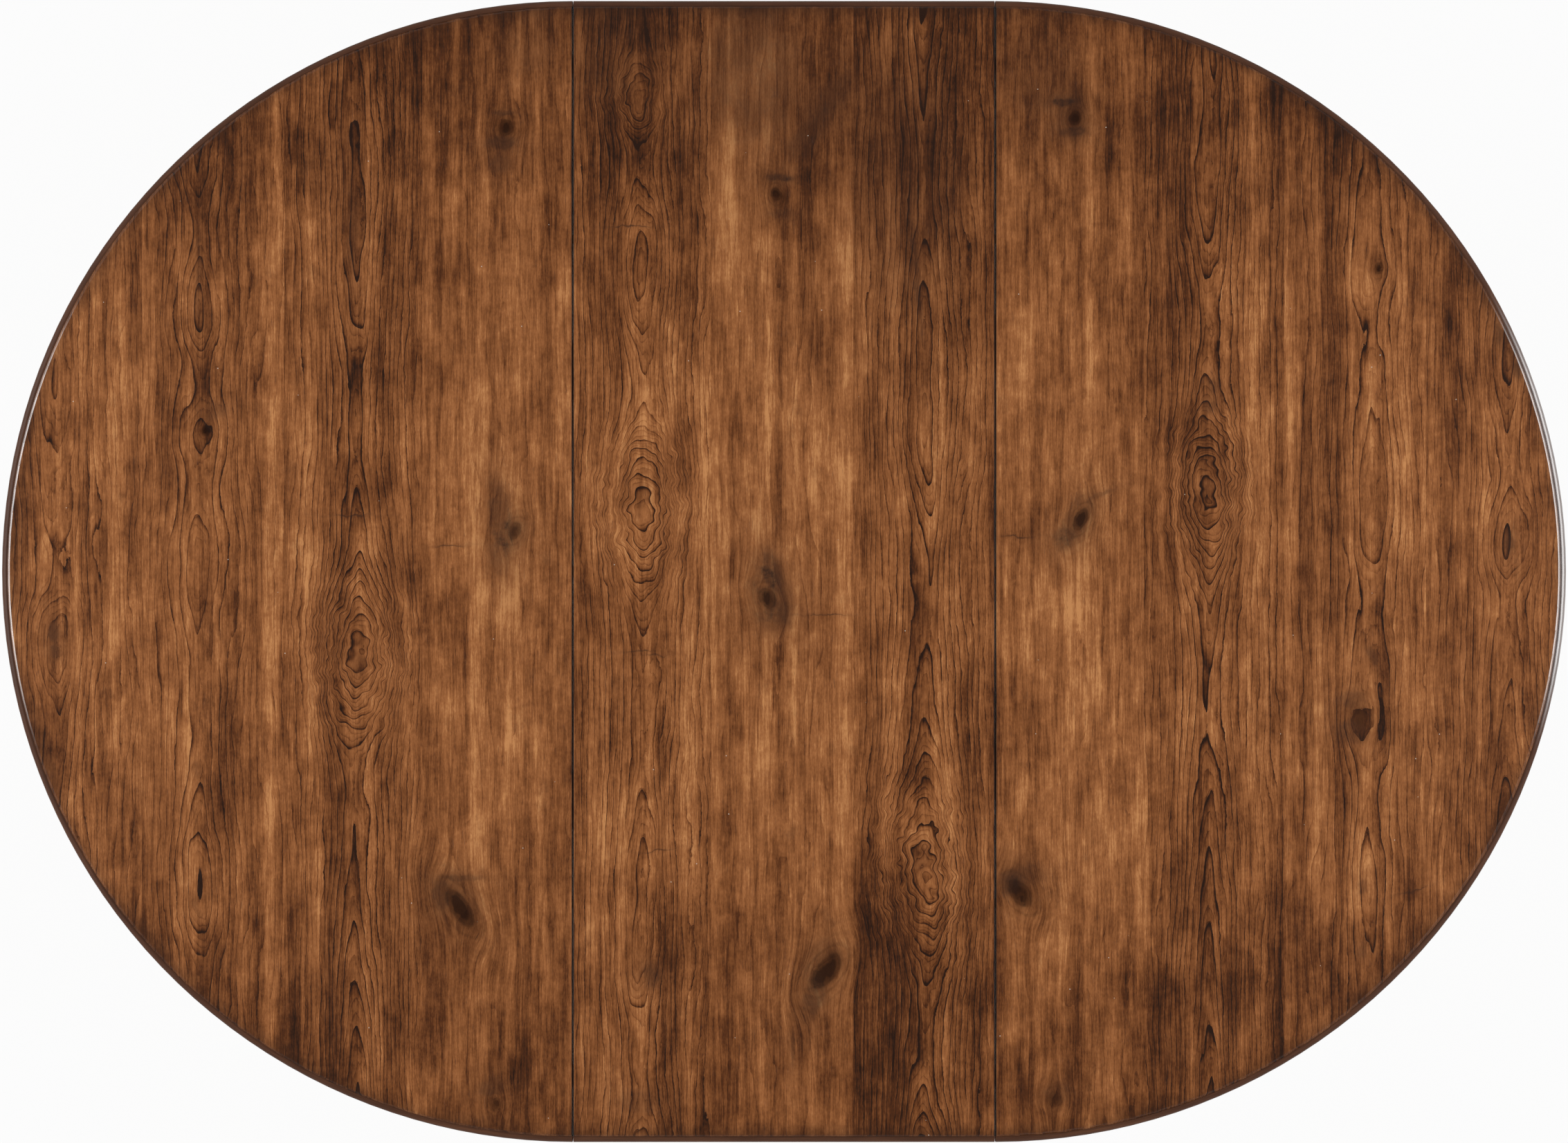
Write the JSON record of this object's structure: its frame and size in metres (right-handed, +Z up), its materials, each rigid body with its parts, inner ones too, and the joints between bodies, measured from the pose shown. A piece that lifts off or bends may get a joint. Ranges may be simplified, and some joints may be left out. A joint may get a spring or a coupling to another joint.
{
  "type": "pedestal dining table",
  "caption": "Oval extending dining table with half-round tops and a drop-in leaf on geared slides, over a turned column with sabre legs.",
  "frame": {"origin": "on the floor under the column's axis, at the middle of the table", "axes": "+Z up, +X along the length, the way the right half opens, +Y to the back"},
  "size_m": [1.6708, 1.2192, 0.762],
  "materials": {
    "top_veneer": "satin stained veneer",
    "edge_wood": "satin dark stained solid wood",
    "base_wood": "satin stained solid wood",
    "slide_wood": "waxed bare hardwood",
    "steel": "zinc plated",
    "lock_steel": "brass plated",
    "nylon": "moulded nylon"
  },
  "bodies": {
    "pedestal": {"column": "base_wood", "column_drop": "base_wood", "leg_back_right": "base_wood", "leg_back_left": "base_wood", "leg_front_left": "base_wood", "leg_front_right": "base_wood", "leg_bolts": "steel", "leg_washers": "steel", "leg_nuts": "steel", "foot_glides": "nylon", "mounting_plate": "slide_wood", "column_lag_screws": "steel", "bearer_left": "slide_wood", "bearer_right": "slide_wood", "bearer_bolts": "steel", "bearer_nuts": "steel", "centre_rail_front": "slide_wood", "centre_rail_rear": "slide_wood", "centre_rail_screws": "steel", "pinion_axles": "steel"},
    "right_half": {"right_panel": "top_veneer", "right_edge_moulding": "edge_wood", "right_apron": "base_wood", "right_apron_blocks": "slide_wood", "right_rail_front": "slide_wood", "right_rail_rear": "slide_wood", "right_rack_front": "nylon", "right_rack_rear": "nylon", "right_rail_screws": "steel", "right_lock_plates": "lock_steel"},
    "left_half": {"left_panel": "top_veneer", "left_edge_moulding": "edge_wood", "left_apron": "base_wood", "left_apron_blocks": "slide_wood", "left_rail_front": "slide_wood", "left_rail_rear": "slide_wood", "left_rack_front": "nylon", "left_rack_rear": "nylon", "left_rail_screws": "steel", "left_pins": "slide_wood", "left_keepers": "lock_steel"},
    "leaf": {"leaf_panel": "top_veneer", "leaf_edge_front": "edge_wood", "leaf_edge_rear": "edge_wood", "leaf_apron_front": "base_wood", "leaf_apron_rear": "base_wood", "leaf_apron_blocks": "slide_wood", "leaf_pins": "slide_wood", "leaf_keepers": "lock_steel", "leaf_lock_plates": "lock_steel"},
    "pinion_front": {"pinion_front": "nylon"},
    "pinion_rear": {"pinion_rear": "nylon"},
    "right_lock_front": {"right_lever_front": "lock_steel"},
    "right_lock_rear": {"right_lever_rear": "lock_steel"},
    "leaf_lock_front": {"leaf_lever_front": "lock_steel"},
    "leaf_lock_rear": {"leaf_lever_rear": "lock_steel"}
  },
  "joints": [
    {"name": "right_slide", "type": "slide", "parent": "pedestal", "child": "right_half", "axis": [1, 0, 0], "range_m": [0, 0.025]},
    {"name": "left_slide", "type": "slide", "parent": "pedestal", "child": "left_half", "axis": [1, 0, 0], "range_m": [-0.025, 0]},
    {"name": "leaf_lift", "type": "slide", "parent": "pedestal", "child": "leaf", "axis": [0, 0, 1], "range_m": [0, 0.3]},
    {"name": "pinion_front_spin", "type": "hinge", "parent": "pedestal", "child": "pinion_front", "pos_m": [0, -0.23, 0.72], "axis": [0, 0, 1], "range_deg": [-85, 0]},
    {"name": "pinion_rear_spin", "type": "hinge", "parent": "pedestal", "child": "pinion_rear", "pos_m": [0, 0.23, 0.72], "axis": [0, 0, 1], "range_deg": [-85, 0]},
    {"name": "right_lock_front_swing", "type": "hinge", "parent": "right_half", "child": "right_lock_front", "pos_m": [0.2554, -0.41796, 0.7332], "axis": [0, 0, 1], "range_deg": [0, 90]},
    {"name": "right_lock_rear_swing", "type": "hinge", "parent": "right_half", "child": "right_lock_rear", "pos_m": [0.2554, 0.41796, 0.7332], "axis": [0, 0, 1], "range_deg": [0, 90]},
    {"name": "leaf_lock_front_swing", "type": "hinge", "parent": "leaf", "child": "leaf_lock_front", "pos_m": [-0.1954, -0.41796, 0.7332], "axis": [0, 0, 1], "range_deg": [0, 90]},
    {"name": "leaf_lock_rear_swing", "type": "hinge", "parent": "leaf", "child": "leaf_lock_rear", "pos_m": [-0.1954, 0.41796, 0.7332], "axis": [0, 0, 1], "range_deg": [0, 90]}
  ],
  "couplings": [
    {"joint": "left_slide", "follows": "right_slide", "ratio": -1},
    {"joint": "pinion_front_spin", "follows": "right_slide", "rad_per_m": -55.556},
    {"joint": "pinion_rear_spin", "follows": "right_slide", "rad_per_m": -55.556}
  ]
}
